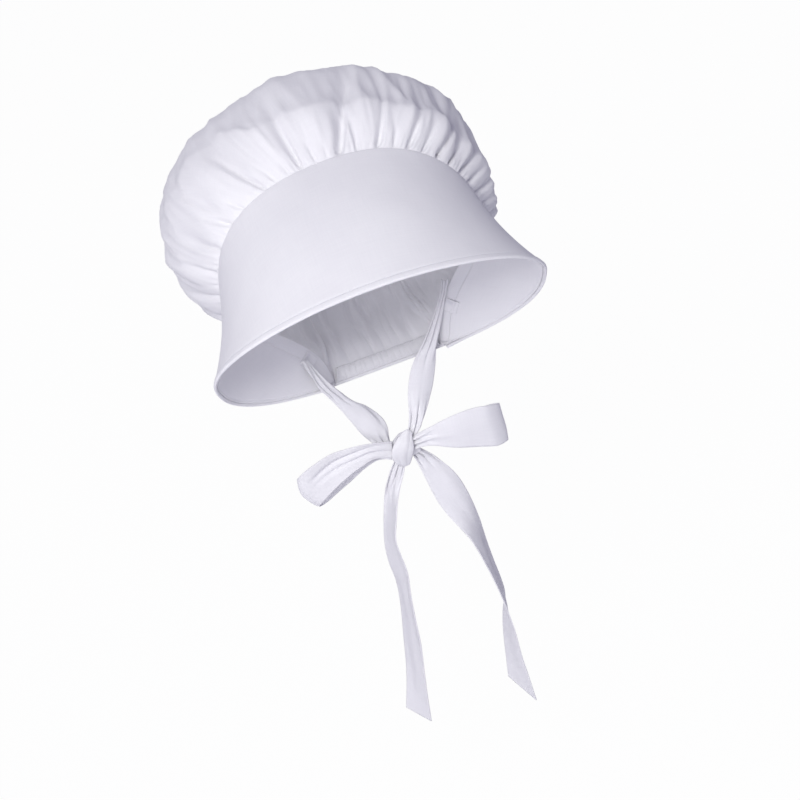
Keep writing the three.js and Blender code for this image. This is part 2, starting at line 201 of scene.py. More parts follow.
middle = (0, 0, -0.05)
lamp("key_lamp", (-0.42, -1.42, 1.30), middle, 26.6, 0.6, (1, 0.995, 0.96))
lamp("low_lamp", (-0.80, -1.60, -0.12), middle, 5.0, 0.7, (1, 0.985, 1))
lamp("back_lamp", (-0.70, 1.55, 0.85), middle, 3.0, 0.8, (1, 1, 1))
glow_inside = bpy.data.lights.new("inside_lamp", "POINT")
glow_inside.energy = 0.045
glow_inside.shadow_soft_size = 0.02
inside_lamp = bpy.data.objects.new("inside_lamp", glow_inside)
inside_lamp.location = (0, 0.03, 0.04)
inside_lamp.visible_camera = False
scene.collection.objects.link(inside_lamp)

# %% [markdown]
# ## The floor
#
# The bonnet hangs, so the floor is well below the ties. Its colour is white paper. Camera
# rays see mostly plain white, and the rest of the paint still takes the bonnet's shadow.

# %% Floor
FLOOR_Z = -0.60
SEEN_AS_WHITE = 0.97  # share of plain white in what the camera sees of the floor
bm = bmesh.new()
bmesh.ops.create_circle(bm, cap_ends=True, radius=6, segments=96)
bmesh.ops.translate(bm, verts=bm.verts, vec=(0, 0, FLOOR_Z))
floor_mesh = bpy.data.meshes.new("studio_floor")
bm.to_mesh(floor_mesh)
bm.free()
floor = bpy.data.objects.new("studio_floor", floor_mesh)
scene.collection.objects.link(floor)
white_paper = bpy.data.materials.new("white_paper")
white_paper.use_nodes = True
tree = white_paper.node_tree
paint = tree.nodes["Principled BSDF"]
paint.inputs["Base Color"].default_value = (0.88, 0.88, 0.9, 1)
paint.inputs["Roughness"].default_value = 0.9
glow = tree.nodes.new("ShaderNodeEmission")
camera_ray = tree.nodes.new("ShaderNodeLightPath").outputs["Is Camera Ray"]
blend = tree.nodes.new("ShaderNodeMixShader")
wire(tree, maths(tree, "MULTIPLY", camera_ray, SEEN_AS_WHITE), blend.inputs["Fac"])
wire(tree, paint.outputs[0], blend.inputs[1])
wire(tree, glow.outputs[0], blend.inputs[2])
tree.links.new(blend.outputs[0], tree.nodes["Material Output"].inputs["Surface"])
floor_mesh.materials.append(white_paper)

# %% [markdown]
# ## Finishes
#
# Everything is white, so the finishes differ in their structure. Plain-weave cotton has
# threads that pass over and under each other about every 0.4 mm, thicker and thinner places
# along each thread, and soft creases. The weave must follow the cloth and not the room, so
# each piece carries an attribute named `cloth`, which holds where every vertex lay on the
# flat cloth, in metres. A sine along each direction of that makes the weave.

# %% Woven finishes
def woven(name, dark, light, pitch, weave, crease, on_cloth=True):
    """Plain weave with a thread every pitch metres, slubs, soft creases and a faint tint."""
    material = bpy.data.materials.new(name)
    material.use_nodes = True
    tree = material.node_tree
    cloth = tree.nodes["Principled BSDF"]
    place = tree.nodes.new("ShaderNodeTexCoord").outputs["Object"]
    flat = place
    if on_cloth:
        attribute = tree.nodes.new("ShaderNodeAttribute")
        attribute.attribute_name = "cloth"
        flat = attribute.outputs["Vector"]
    split = tree.nodes.new("ShaderNodeSeparateXYZ")
    tree.links.new(flat, split.inputs[0])
    turn = math.pi / pitch
    warp = maths(tree, "SINE", maths(tree, "MULTIPLY", split.outputs["X"], turn))
    weft = maths(tree, "SINE", maths(tree, "MULTIPLY", split.outputs["Y"], turn))
    over = maths(tree, "MULTIPLY", warp, weft)
    slub_warp = noise_at(tree, flat, 900, 1.5, (1, 0.06, 1))
    slub_weft = noise_at(tree, flat, 900, 1.5, (0.06, 1, 1))
    slubs = maths(tree, "ADD", slub_warp, slub_weft)
    height = maths(tree, "ADD", maths(tree, "MULTIPLY", over, 0.5), slubs)
    soft = noise_at(tree, place, 38, 3.0)
    creased = bump(tree, soft, 1.0, crease)
    normal = bump(tree, height, weave, 0.00012, creased)
    tree.links.new(normal, cloth.inputs["Normal"])
    patches = noise_at(tree, place, 14, 2.0)
    shade = maths(tree, "ADD", maths(tree, "MULTIPLY", patches, 0.7),
                  maths(tree, "MULTIPLY", slubs, 0.25))
    ramp = tree.nodes.new("ShaderNodeValToRGB")
    ramp.color_ramp.elements[0].position = 0.25
    ramp.color_ramp.elements[0].color = (*dark, 1)
    ramp.color_ramp.elements[1].position = 0.85
    ramp.color_ramp.elements[1].color = (*light, 1)
    tree.links.new(shade, ramp.inputs["Fac"])
    tree.links.new(ramp.outputs["Color"], cloth.inputs["Base Color"])
    cloth.inputs["Roughness"].default_value = 0.9
    cloth.inputs["Sheen Weight"].default_value = 0.12
    cloth.inputs["Sheen Roughness"].default_value = 0.6
    cloth.inputs["Specular IOR Level"].default_value = 0.25
    return material


FINE = dict(pitch=0.0004, weave=0.35)
cotton = woven("bleached_cotton", (0.75, 0.745, 0.78), (0.84, 0.838, 0.86),
               crease=0.0004, **FINE)
tie_cotton = woven("tie_cotton", (0.76, 0.755, 0.79), (0.85, 0.848, 0.87),
                   crease=0.00025, **FINE)
tape = woven("binding_tape", (0.73, 0.725, 0.76), (0.81, 0.808, 0.83),
             pitch=0.0007, weave=0.5, crease=0.0001)
stiffener = woven("woven_interfacing", (0.62, 0.62, 0.66), (0.72, 0.72, 0.75),
                  pitch=0.0011, weave=0.8, crease=0.0001, on_cloth=False)
elastic = woven("braided_elastic", (0.70, 0.70, 0.74), (0.82, 0.82, 0.85),
                pitch=0.0009, weave=0.9, crease=0.0)


# %% Sewing thread
def spun(name, colour):
    """Two-ply thread: fine slanting ridges, a little smoother than the cloth."""
    material = bpy.data.materials.new(name)
    material.use_nodes = True
    tree = material.node_tree
    thread = tree.nodes["Principled BSDF"]
    place = tree.nodes.new("ShaderNodeTexCoord").outputs["Object"]
    wave = tree.nodes.new("ShaderNodeTexWave")
    wave.bands_direction = "DIAGONAL"
    wave.inputs["Scale"].default_value = 900
    wave.inputs["Distortion"].default_value = 1.5
    tree.links.new(place, wave.inputs["Vector"])
    normal = bump(tree, wave.outputs["Fac"], 0.6, 0.00008)
    tree.links.new(normal, thread.inputs["Normal"])
    ramp = tree.nodes.new("ShaderNodeValToRGB")
    ramp.color_ramp.elements[0].color = (*(0.9 * c for c in colour), 1)
    ramp.color_ramp.elements[1].color = (*colour, 1)
    tree.links.new(wave.outputs["Fac"], ramp.inputs["Fac"])
    tree.links.new(ramp.outputs["Color"], thread.inputs["Base Color"])
    thread.inputs["Roughness"].default_value = 0.65
    thread.inputs["Sheen Weight"].default_value = 0.1
    return material


thread = spun("cotton_thread", (0.84, 0.84, 0.89))
print("finishes", [m.name for m in bpy.data.materials])

# %% [markdown]
# ## Pattern curves
#
# Two closed edges give the bonnet its shape: the seam, where the crown is sewn to the brim,
# and the brim's front edge. Each half runs from the top centre to a nape corner. A place on
# them is a number u, from -1 at the left corner over 0 at the top to +1 at the right one,
# spaced by length, because that is how cloth is matched along a seam.

# %% Measured lines
SEAM_HALF_WIDTH = 98
SEAM_HEIGHT = 192
SEAM_WIDEST_AT = 105
SEAM_LEAN = 27
NAPE_HALF_WIDTH = 45
NAPE_Y = SEAM_LEAN / 2
NAPE_Z = -SEAM_HEIGHT / 2


def measured(points):
    """The points and their distances along the line."""
    at = [0.0]
    for a, b in zip(points, points[1:]):
        at.append(at[-1] + (b - a).length)
    return points, at


def along(line, distance):
    points, at = line
    i = min(max(bisect.bisect_left(at, distance), 1), len(at) - 1)
    return points[i - 1].lerp(points[i], (distance - at[i - 1]) / (at[i] - at[i - 1]))


def superellipse(a, b, power, angle):
    x = a * math.sin(angle) ** (2 / power)
    return x, b * max(0.0, math.cos(angle)) ** (2 / power)


# %% The seam
def seam_half():
    def place(x, h):
        return Vector((x, NAPE_Y - SEAM_LEAN * smooth(h / SEAM_HEIGHT), NAPE_Z + h))

    rise = SEAM_HEIGHT - SEAM_WIDEST_AT
    upper = [superellipse(SEAM_HALF_WIDTH, rise, 2.3, a) for a in steps(0, math.pi / 2, 160)]
    points = [place(x, SEAM_WIDEST_AT + h) for x, h in upper]
    for t in steps(0, 1, 160)[1:]:
        x = mix(NAPE_HALF_WIDTH, SEAM_HALF_WIDTH, smooth(1 - t) ** 1.5)
        points.append(place(x, SEAM_WIDEST_AT * (1 - t)))
    return measured(points)


SEAM = seam_half()
SEAM_LENGTH = SEAM[1][-1]
print("half of the seam", round(SEAM_LENGTH), "mm")

# %% The brim's front edge
BRIM_HALF_WIDTH = 125
BRIM_LOOP_HALF = 98
BRIM_SLOPE = math.radians(47)
BRIM_END_DEPTH = 13.5


def edge_half():
    start_y = NAPE_Y - BRIM_END_DEPTH * 0.9
    start_z = NAPE_Z + BRIM_END_DEPTH * 0.3

    def place(x, h):
        return Vector((x, start_y - h * math.cos(BRIM_SLOPE), start_z + h * math.sin(BRIM_SLOPE)))

    half = BRIM_LOOP_HALF
    upper = [superellipse(BRIM_HALF_WIDTH, half, 2, a) for a in steps(0, math.pi / 2, 160)]
    points = [place(x, half + h) for x, h in upper]
    last = math.acos((NAPE_HALF_WIDTH / BRIM_HALF_WIDTH) ** 1.3)
    for a in steps(0, last, 160)[1:]:
        h, x = superellipse(half, BRIM_HALF_WIDTH, 2.6, a)
        points.append(place(x, half - h))
    return measured(points)


EDGE = edge_half()
EDGE_LENGTH = EDGE[1][-1]
print("half of the front edge", round(EDGE_LENGTH), "mm")


# %% Lines across the brim and over the crown
def on_loop(line, u):
    point = along(line, min(1.0, abs(u)) * line[1][-1]).copy()
    if u < 0:
        point.x = -point.x
    return point


def brim_line(u):
    """From the seam to the front edge, bowed out over the forehead and in at the sides."""
    start, end = on_loop(SEAM, u), on_loop(EDGE, u)
    out = Vector((start.x, 0, start.z + SEAM_HEIGHT / 4)).normalized()
    bow = mix(3, -4, smooth(abs(u) / 0.5)) * (end - start).length / 100
    ways = steps(0, 1, 25)
    return measured([start.lerp(end, t) + out * bow * math.sin(math.pi * t) for t in ways])


CROWN_HALF_WIDTH = 122
CROWN_AXIS_Z = 33
CROWN_WIDEST_Y = 60
CROWN_BACK = 80
CROWN_SPRING = 0.4


def crown_line(u):
    """From the rim over the puff to the middle of the back; u 1 to 3 is the nape edge."""
    rim = on_loop(SEAM, u) if u <= 1 else Vector((NAPE_HALF_WIDTH * (2 - u), NAPE_Y, NAPE_Z))
    out = Vector((rim.x, 0, rim.z - CROWN_AXIS_Z))
    start = out.length
    out.normalize()
    reach = 96 if out.z > 0 else 112
    full = 1 / math.hypot(out.x / CROWN_HALF_WIDTH, out.z / reach)
    low = math.sin(CROWN_SPRING)
    points = []
    for a in steps(CROWN_SPRING, math.pi / 2, 20):
        radius = mix(start, full, (math.sin(a) - low) / (1 - low))
        y = mix(CROWN_WIDEST_Y, rim.y, math.cos(a) / math.cos(CROWN_SPRING))
        points.append(Vector((out.x * radius, y, CROWN_AXIS_Z + out.z * radius)))
    for a in steps(0, math.pi / 2, 30)[1:]:
        radius, y = full * math.cos(a), CROWN_WIDEST_Y + CROWN_BACK * math.sin(a)
        points.append(Vector((out.x * radius, y, CROWN_AXIS_Z + out.z * radius)))
    return measured(points)


# %% [markdown]
# ## Laying cloth
#
# A place on sewn cloth is easiest to say from the cloth itself: along it by u, away from its
# edge by w, and off its face by n. The brim's face looks out and so does the crown's. The
# lines are kept once they are worked out, since neighbouring vertices ask for the same ones.

# %% Off the cloth
kept = {}


def line_at(cloth, u):
    key = (cloth, round(u, 6))
    if key not in kept:
        kept[key] = brim_line(u) if cloth == "brim" else crown_line(u)
    return kept[key]


def on_cloth(cloth, u, w):
    """The point w along the line at u, and there the direction across and the one outwards."""
    here = line_at(cloth, u)
    share = w / here[1][-1]
    before, after = line_at(cloth, u - 0.004), line_at(cloth, u + 0.004)
    across = along(after, share * after[1][-1]) - along(before, share * before[1][-1])
    down = along(here, w + 0.5) - along(here, w - 0.5)
    face = across.cross(down).normalized() * (-1 if cloth == "brim" else 1)
    return along(here, w), across.normalized(), face


def off_cloth(cloth, u, w, n):
    """The point w along the line at u and n off the outer face, in millimetres."""
    point, _, face = on_cloth(cloth, u, w)
    return point + face * n


# %% A grid of cloth
def to_object(name, bm, material, outward=None):
    """Make the mesh an object; outward is a point that the faces look away from."""
    if outward is not None:
        total = sum(
            f.normal.dot(f.calc_center_median() - outward) * f.calc_area() for f in bm.faces)
        if total < 0:
            bmesh.ops.reverse_faces(bm, faces=bm.faces)
    mesh = bpy.data.meshes.new(name)
    for face in bm.faces:
        face.smooth = True
    bm.to_mesh(mesh)
    bm.free()
    mesh.materials.append(material)
    piece = bpy.data.objects.new(name, mesh)
    scene.collection.objects.link(piece)
    print(name, len(mesh.vertices), "vertices")
    return piece


def thicken(piece, thickness):
    """Half of the thickness to each side."""
    layer = piece.modifiers.new("cloth_thickness", "SOLIDIFY")
    layer.thickness = thickness * MM
    layer.offset = 0.0


def cloth_grid(across, down):
    """A flat grid whose vertices know their column, their row and their place on the cloth."""
    bm = bmesh.new()
    bmesh.ops.create_grid(bm, x_segments=across - 1, y_segments=down - 1, size=0.5)
    flat = bm.verts.layers.float_vector.new("cloth")
    cells = []
    for vert in bm.verts:
        i = round((vert.co.x + 0.5) * (across - 1))
        j = round((vert.co.y + 0.5) * (down - 1))
        cells.append((vert, i, j))
    return bm, flat, cells


def strip(name, cloth, stations, section, material, outward, wave=None):
    """Cloth laid along a seam: section gives w and n of each row at a line's length."""
    rows = len(section(100))
    bm, flat, cells = cloth_grid(len(stations), rows)
    lengths = [line_at(cloth, u)[1][-1] for u in stations]
    sections = [section(length) for length in lengths]
    for vert, i, j in cells:
        u = stations[i]
        w, n = sections[i][j]
        lift = wave(u, w, lengths[i]) if wave else 0.0
        vert.co = off_cloth(cloth, u, w, n + lift) * MM
        run = mix(SEAM_LENGTH, EDGE_LENGTH, w / lengths[i]) if cloth == "brim" else SEAM_LENGTH
        vert[flat] = Vector((u * run, w, 0)) * MM
    return to_object(name, bm, material, outward)


# %% [markdown]
# ## The brim
#
# The brim is a crescent of cotton over stiff interfacing, with a cotton lining inside. Laid
# out flat between the seam and the front edge, the crescent is 533 x 152 mm and 48,600 mm2.
# The outer cloth turns round the front edge and is held by a row of topstitching. Where
# the needle goes through, the layers are drawn together, so a shallow groove with tiny puckers
# runs along the stitches, and the edge in front of it stands up a little fuller. Every
# layer takes the same small lift, so none cuts another.

# %% Brim surface
SKIN = 0.85  # middle of the outer cloth, off the middle of the brim
CLOTH = 0.5
STITCHED_AT = 5.0  # behind the front edge


def brim_lift(u, w, length):
    """Soft unevenness of the pressed brim, in millimetres."""
    place = Vector((u * 4.5, w * 0.012, 0.0))
    return 0.7 * noise.noise(place) + 0.25 * noise.noise(place * 3.1)


def stitch_groove(u, w, length):
    """How far the face is drawn in beside the stitching."""
    behind = length - w
    depth = 0.24 * math.exp(-((behind - STITCHED_AT) / 0.9) ** 2)
    pucker = math.sin(u * EDGE_LENGTH / 5.3 * 2 * math.pi + 2 * noise.noise(Vector((u * 40, 0, 7))))
    return depth + 0.06 * pucker * math.exp(-((behind - 6) / 3.5) ** 2)


def edge_fullness(u, w, length):
    """The turned edge is fuller than the pressed cloth, because four layers meet in it."""
    behind = length - w
    return 0.45 * smooth((STITCHED_AT - behind) / 1.6) * smooth(behind / 0.8)


def outer_lift(u, w, length):
    return brim_lift(u, w, length) - stitch_groove(u, w, length) + edge_fullness(u, w, length)


def lining_lift(u, w, length):
    return brim_lift(u, w, length) + stitch_groove(u, w, length)


# %% Brim outer cloth
def outer_section(length):
    """Turned under at the seam, along the face, and round the front edge."""
    rows = [(1.6, -0.05), (0.7, -0.05), (0.15, 0.05), (0.0, 0.25), (0.3, 0.45), (0.9, 0.62)]
    rows += [(1.8, 0.76)] + [(w, SKIN) for w in steps(3.0, length - 10, 26)]
    rows += [(length - b, SKIN) for b in steps(9.4, SKIN, 22)]
    for a in steps(0, math.pi, 9)[1:]:
        rows.append((length - SKIN + SKIN * math.sin(a), SKIN * math.cos(a)))
    rows += [(length - 1.6, -SKIN), (length - 2.4, -SKIN)]
    return rows


face_behind = Vector((0, 0.02, -0.02))
brim_stations = steps(-1, 1, 261)
brim_outer = strip(
    "brim_outer_cloth", "brim", brim_stations, outer_section, cotton, face_behind, outer_lift)
thicken(brim_outer, CLOTH)
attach(brim_outer, "bonnet")
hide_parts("brim_outer")

# %% Brim lining
def lining_section(length):
    return [(w, -SKIN) for w in steps(1.0, length - 9, 26)] + [
        (length - b, -SKIN) for b in steps(8.4, 2.7, 14)]


brim_lining = strip(
    "brim_lining_cloth", "brim", brim_stations, lining_section, cotton, None, lining_lift)
thicken(brim_lining, CLOTH)
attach(brim_lining, "bonnet")
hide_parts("brim_lining")

# %% [markdown]
# The interfacing is sealed between the two cloths. It is already the right shape, so the
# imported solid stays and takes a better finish.

# %% Interfacing
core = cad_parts["brim_interfacing"]
core.material_slots[0].material = stiffener
print("kept", core.name)

# %% [markdown]
# ## Stitches
#
# A row of lockstitch is many short bars of thread with a small gap between them, each lying
# on the cloth and dipping in at both ends. One low sphere, stretched to a bar, is copied
# along the row. A few dozen faces are enough for a stitch that is 2 mm long.

# %% Stitch rows
STITCH = 2.1  # visible length of one stitch
STITCH_GAP = 0.55


def stitch_row(name, places, material, body, nodes=(), radius=0.24):
    """places lists, for each stitch, its two ends and the direction off the cloth."""
    bar = bpy.data.meshes.new("one_stitch")
    bm = bmesh.new()
    bmesh.ops.create_uvsphere(bm, u_segments=6, v_segments=6, radius=1.0)
    bmesh.ops.rotate(bm, verts=bm.verts, matrix=Matrix.Rotation(math.pi / 2, 3, "Y"))
    bm.to_mesh(bar)
    bm.clear()
    for start, end, up in places:
        run = end - start
        side = run.normalized().cross(up).normalized()
        axes = Matrix((run * 0.5, side * radius, up * radius * 0.8)).transposed().to_4x4()
        axes.translation = (start + end) / 2
        placed = Matrix.Scale(MM, 4) @ axes
        bar.transform(placed)
        bm.from_mesh(bar)
        bar.transform(placed.inverted())
    bpy.data.meshes.remove(bar)
    piece = to_object(name, bm, material)
    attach(piece, body)
    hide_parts(*nodes)


def stitches_on(cloth, first, last, run, where, height, lift=None):
    """Stitches from u = first to u = last over run millimetres; where gives w for a length."""
    count = round((last - first) * run / (STITCH + STITCH_GAP))

    def at(u, n=0.0):
        length = line_at(cloth, u)[1][-1]
        w = where(length)
        return off_cloth(cloth, u, w, height + n + (lift(u, w, length) if lift else 0.0))

    row = []
    for i in range(count):
        share = [mix(first, last, (i + k) / count) for k in (0.0, 0.4, 0.79)]
        row.append((at(share[0]), at(share[2]), at(share[1], 1) - at(share[1])))
    return row


# %% Brim stitches
FACE = SKIN + CLOTH / 2


def stitch_line(length):
    return length - STITCHED_AT


top_rows = stitches_on("brim", -0.985, 0.985, EDGE_LENGTH, stitch_line, FACE + 0.05, outer_lift)
bobbin_rows = stitches_on(
    "brim", -0.985, 0.985, EDGE_LENGTH, stitch_line, -FACE - 0.05, lining_lift)
stitch_row("brim_topstitches", top_rows, thread, "bonnet", ["brim_topstitch"])
stitch_row("brim_bobbin_stitches", bobbin_rows, thread, "bonnet", ["brim_bobbin_stitch"])

# %% [markdown]
# ## Seam binding
#
# Inside, a folded tape hides the raw edges where crown and brim meet. It follows the seam,
# swells a little between its two edges, and is sewn to the lining along its front edge.

# %% Seam binding
BINDING = 8


def binding_section(length):
    rows = []
    for t in steps(0, 1, 13):
        swell = 0.5 * math.sin(math.pi * t) ** 0.6
        rows.append((mix(-0.6, 1 + BINDING, t), -1.45 - swell))
    return rows


def binding_lift(u, w, length):
    pull = 0.25 * math.exp(-((w - 7.4) / 0.7) ** 2)
    return brim_lift(u, w, length) + pull + 0.12 * noise.noise(Vector((u * 60, w * 0.1, 3)))


binding = strip("seam_binding_tape", "brim", steps(-0.985, 0.985, 241), binding_section, tape,
                None, binding_lift)
thicken(binding, 0.4)
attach(binding, "bonnet")
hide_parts("seam_binding")
rows = stitches_on("brim", -0.97, 0.97, SEAM_LENGTH, lambda length: 7.4, -1.95, binding_lift)
stitch_row("binding_stitches", rows, thread, "bonnet", ["seam_binding_stitch"])

# %% [markdown]
# ## The crown
#
# The crown is one big round of cotton. Its edge is twice as long as the seam, so
# it is drawn up on a thread into gathers. Close to the seam every few millimetres of it hold
# a fold; further out most folds die away and a few long ones run into the puff. Moving the
# cloth by listed folds gives each fold its own place, depth and reach, which a
# simulation would scatter. The flat square grid is first eased into a round, so the weave
# stays straight across the cloth and there is no pole at the back.

# %% Folds of the crown
CROWN_LOOP = 2 * SEAM_LENGTH + 2 * NAPE_HALF_WIDTH
# place u on the rim, depth, width and reach in millimetres, and how far it leans sideways
LONG_FOLDS = [
    (-0.80, 2.6, 4.0, 40, -3), (-0.74, 3.2, 4.6, 62, 5), (-0.66, 4.2, 5.0, 78, -8),
    (-0.60, 3.0, 3.6, 60, -6), (-0.52, 3.2, 5.0, 74, -7), (-0.44, 2.2, 4.0, 44, 4),
    (-0.37, 2.6, 5.0, 84, -6), (-0.29, 3.0, 3.6, 54, -7), (-0.235, 1.6, 3.0, 26, -2),
    (-0.16, 4.4, 3.6, 74, -9), (-0.125, 2.0, 2.4, 24, -2), (-0.05, 5.0, 3.4, 84, 4),
    (-0.01, 1.8, 2.6, 26, -2), (0.055, 6.2, 5.4, 104, 24), (0.10, 2.8, 3.0, 40, -4),
    (0.155, 4.4, 3.4, 70, 6), (0.195, 2.8, 2.8, 34, -3), (0.235, 4.2, 3.4, 62, 6),
    (0.275, 3.2, 2.8, 40, 4), (0.32, 4.6, 3.6, 66, 7), (0.36, 3.4, 2.8, 44, 4),
    (0.405, 4.2, 3.4, 62, 6), (0.445, 3.2, 2.8, 42, 3), (0.49, 4.0, 3.4, 60, 5),
    (0.53, 3.2, 2.8, 40, 3), (0.58, 4.0, 3.6, 58, -4), (0.63, 3.0, 3.2, 40, 3),
    (0.69, 3.2, 4.2, 50, -4), (0.76, 2.6, 4.2, 40, 3),
]
random.seed(11)
folds = [(u * SEAM_LENGTH, depth * 1.35, *rest) for u, depth, *rest in LONG_FOLDS]
for i in range(150):
    place = mix(-SEAM_LENGTH, CROWN_LOOP - SEAM_LENGTH, (i + random.uniform(0.1, 0.9)) / 150)
    reach = random.uniform(9, 20) + (8 if place > SEAM_LENGTH else 0)
    depth = random.uniform(0.5, 1.5) * (0.4 if place > SEAM_LENGTH else 1)
    folds.append((place, depth, random.uniform(1.6, 2.6), reach, random.uniform(-2, 2)))
for i in range(12):
    u = mix(0.8, 1.0, i / 11)
    for side in (-1, 1):
        folds.append((side * u * SEAM_LENGTH, 1.6, 3.0, 24, random.uniform(-3, 3)))
BIN = 10.0
by_place = {}
for fold in folds:
    for k in range(-3, 4):
        by_place.setdefault(round(fold[0] / BIN) + k, []).append(fold)
print(len(folds), "folds round the rim")


# %% Height of the gathered cloth
def gathers(a, v):
    """Height of the cloth at rim position a, v millimetres from the rim, and its side pull."""
    height, pull = 0.0, 0.0
    for centre, depth, width, reach, lean in by_place.get(round(a / BIN), ()):
        if v >= reach:
            continue
        far = v / reach
        x = a - centre - lean * far
        laid_over = 0.62 if (x > 0) == (lean > 0) else 1.3
        spread = width * laid_over * (0.30 + 0.75 * far)
        valley = math.exp(-(((x / spread) ** 2 + 0.03) ** 0.6) + 0.03 ** 0.6)
        strength = depth * (1 - smooth(far)) * valley
        height -= strength
        pull += strength * x / spread * 0.35
    return height, pull


def shoulder(a, v):
    """The cloth stands up from the seam and then turns over to run back, along a soft ridge."""
    u = a / SEAM_LENGTH
    near = smooth((u + 0.15) / 0.07) * smooth((0.78 - u) / 0.12)
    ridge = mix(66, 41 - 11 * smooth((u - 0.1) / 0.3), near)
    ridge += 9 * noise.noise(Vector((u * 12, 0, 2)))
    tall = mix(2.4, 5.0, near) * (1 + 0.9 * noise.noise(Vector((u * 15, 3, 0))))
    tall *= smooth((0.98 - abs(u)) / 0.1)
    if v < ridge:
        return tall * smooth(v / ridge) ** 1.3
    return tall * math.exp(-((v - ridge) / 11) ** 1.3)


def puff(a, v):
    """Long soft waves of the full cloth, strongest in front of the widest part."""
    angle = a / CROWN_LOOP * 2 * math.pi
    round_place = Vector((math.cos(angle), math.sin(angle), 0.0))
    wave = noise.noise(round_place * 5.5 + Vector((0, 0, v * 0.008)))
    sharp = 0.2 - abs(noise.noise(round_place * 8 + Vector((4, 0, v * 0.013))))
    fine = 0.2 - abs(noise.noise(round_place * 17 + Vector((1, 6, v * 0.02))))
    grow = smooth(v / 30) * (1 - 0.75 * smooth((v - 70) / 90))
    return grow * (3.6 * wave + 5.2 * sharp + 2.2 * fine)


# %% Crown cloth
CROWN_CELLS = 196
NAPE_SHARE = 0.15  # of the flat round's edge goes to the nape
FLAT_RADIUS = 200
TUCKED_UNDER = 0.8  # the cloth's edge goes this far below the brim's edge
SETTLED = 5.5  # the puff has sunk this far towards the left


def rim_place(turn):
    """u for a share of the way round the flat cloth, from the top over +X."""
    half = (1 - NAPE_SHARE) / 2
    if turn <= half:
        return turn / half
    if turn < 1 - half:
        return 1 + 2 * (turn - half) / NAPE_SHARE
    return (turn - 1) / half


def round_off(x, y):
    """Ease a point of the square -1..1 into the round: share of the turn, and radius."""
    radius = max(abs(x), abs(y))
    if radius < 1e-9:
        return 0.0, 0.0
    if abs(y) >= abs(x):
        angle = math.pi / 4 * x / y + (0 if y > 0 else math.pi)
    else:
        angle = math.pi / 2 - math.pi / 4 * y / x + (0 if x > 0 else math.pi)
    return (angle / (2 * math.pi)) % 1.0, radius


def crown_lift(u, v):
    """Height of the puffed cloth over the plain crown, and the side pull of its folds."""
    a = u * SEAM_LENGTH if u <= 1 else SEAM_LENGTH + (u - 1) * NAPE_HALF_WIDTH
    height, pull = gathers(a, v)
    rise = smooth(v / 3.0)
    full = 1.6 * math.exp(-v / 28)
    return rise * (height + full) + shoulder(a, v) + puff(a, v), pull * rise


# %% The round of cloth, carried onto the crown
crown_middle = line_at("crown", 0)[0][-1]
bm = bmesh.new()
bmesh.ops.create_grid(bm, x_segments=CROWN_CELLS, y_segments=CROWN_CELLS, size=1.0)
flat = bm.verts.layers.float_vector.new("cloth")
for vert in bm.verts:
    turn, radius = round_off(vert.co.x, vert.co.y)
    radius = radius ** 0.9
    u = rim_place(turn)
    length = line_at("crown", u)[1][-1]
    v = min((1 - radius) * length - TUCKED_UNDER, length - 0.6)
    point, across, face = on_cloth("crown", u, v)
    if radius < 0.01:
        point, across, face = crown_middle, Vector((1, 0, 0)), Vector((0, 1, 0))
    lift, pull = crown_lift(u, v)
    settled = Vector((-SETTLED * smooth(v / 70), 0, 0))
    vert.co = (point + face * lift + across * pull + settled) * MM
    angle = turn * 2 * math.pi
    vert[flat] = Vector((math.sin(angle), math.cos(angle), 0)) * (radius * FLAT_RADIUS * MM)
crown = to_object("crown_cloth", bm, cotton, Vector((0, 0.06, 0.033)))
thicken(crown, CLOTH)
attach(crown, "bonnet")
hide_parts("crown")

# %% [markdown]
# Inside the crown, the thread that gathered it still shows as a row of small stitches.

# %% Gathering stitches
def row_inside(count, first, last, share, w, height):
    """count stitches inside the crown, each over a share of its pitch; height is off the cloth."""
    row = []
    for i in range(count):
        ends = []
        for part in (0.0, share):
            u = mix(first, last, (i + part) / count)
            point, _, face = on_cloth("crown", u, w)
            ends.append(point + face * height(u))
        row.append((*ends, -face))
    return row


count = round(2 * SEAM_LENGTH * 0.95 / 3.4)
row = row_inside(count, -0.95, 0.95, 0.6, 2.4, lambda u: crown_lift(u, 2.4)[0] - 0.45)
stitch_row("gathering_stitches", row, thread, "bonnet", ["crown_gathering_thread"])

# %% [markdown]
# ## The nape
#
# At the nape a folded tape is sewn inside the crown along both its edges, and a braided
# elastic runs in the tunnel between them. The elastic pulls tape and crown into small
# upright puckers. Tape and elastic take the crown's own height, so they follow its folds.

# %% Casing tape
CASING_REACH = 42 / NAPE_HALF_WIDTH
nape_stations = steps(2 - CASING_REACH, 2 + CASING_REACH, 141)


def casing_section(length):
    rows = []
    for t in steps(0, 1, 19):
        swell = 1.9 * math.sin(math.pi * t) ** 0.6
        rows.append((mix(1.5, 12.5, t), -0.75 - swell))
    return rows


def casing_lift(u, w, length):
    pucker = math.sin((u - 1) * NAPE_HALF_WIDTH / 4.6 * 2 * math.pi + 3 * noise.noise(
        Vector((u * 9, 0, 1))))
    return crown_lift(u, w)[0] + 0.12 * pucker * math.sin(math.pi * (w - 1.5) / 11)


casing = strip("nape_casing_tape", "crown", nape_stations, casing_section, tape, None, casing_lift)
thicken(casing, 0.4)
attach(casing, "bonnet")
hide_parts("nape_casing")

# %% Casing stitches
def casing_stitches(name, w, node):
    count = round(2 * 40 / 2.2)
    row = row_inside(count, 2 - 0.9, 2 + 0.9, 0.76, w, lambda u: casing_lift(u, w, 0) - 1.95)
    stitch_row(name, row, thread, "bonnet", [node], 0.2)


